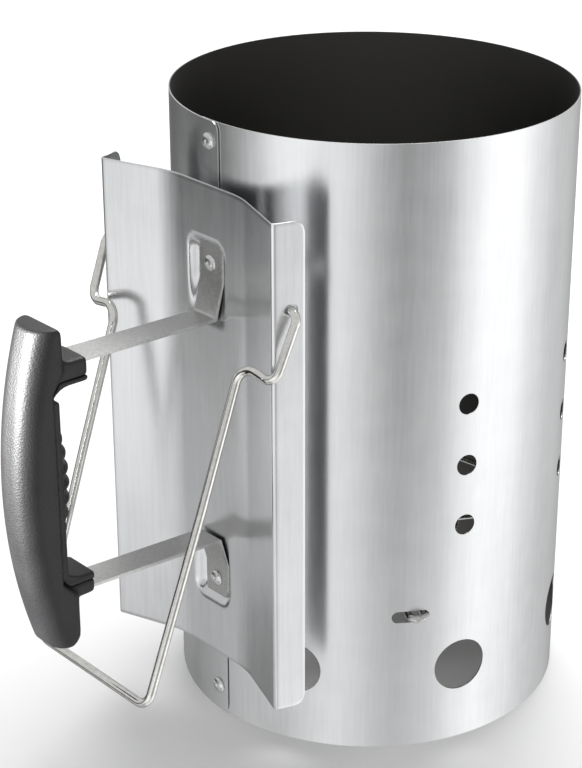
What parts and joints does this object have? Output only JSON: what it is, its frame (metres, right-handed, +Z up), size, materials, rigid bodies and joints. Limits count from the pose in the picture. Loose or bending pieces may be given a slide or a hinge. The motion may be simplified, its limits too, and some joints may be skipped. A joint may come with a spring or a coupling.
{
  "type": "chimney charcoal starter",
  "caption": "Open vented sheet-metal cylinder with a wire grate, a heat shield, a screened side grip and a swinging wire bail.",
  "frame": {"origin": "axis of the round shell in the plane it stands on", "axes": "+Z up along the shell's axis, -X towards the grip, Y across the grip"},
  "size_m": [0.3052, 0.19, 0.3],
  "materials": {
    "shell_sheet": "satin coated steel sheet",
    "shield_sheet": "satin coated steel sheet",
    "strap_steel": "satin zinc",
    "rivet_steel": "bright",
    "bail_wire": "bright plated",
    "grate_wire": "plated",
    "grip_plastic": "fine moulded texture",
    "screw_steel": "zinc"
  },
  "bodies": {
    "chimney": {"shell": "shell_sheet", "seam_rivet_top": "rivet_steel", "seam_rivet_bottom": "rivet_steel", "heat_shield": "shield_sheet", "handle_strap_upper": "strap_steel", "handle_strap_lower": "strap_steel", "strap_rivet_upper": "rivet_steel", "strap_rivet_lower": "rivet_steel", "rivet_washer_upper": "rivet_steel", "rivet_washer_lower": "rivet_steel", "grip_body": "grip_plastic", "finger_cover": "grip_plastic", "grip_screw_upper": "screw_steel", "grip_screw_lower": "screw_steel"},
    "bail": {"bail": "bail_wire"},
    "grate": {"grate_carrier_lower": "grate_wire", "grate_carrier_upper": "grate_wire", "grate_ring_1": "grate_wire", "grate_ring_2": "grate_wire", "grate_ring_3": "grate_wire", "grate_ring_4": "grate_wire"}
  },
  "joints": [
    {"name": "bail_swing", "type": "hinge", "parent": "chimney", "child": "bail", "pos_m": [-0.1055, 0, 0.2335], "axis": [0, 1, 0], "range_deg": [0, 136]},
    {"name": "grate_shift", "type": "hinge", "parent": "chimney", "child": "grate", "pos_m": [0, 0, 0.0707], "axis": [0, 0, 1], "range_deg": [-3.6, 0]}
  ]
}
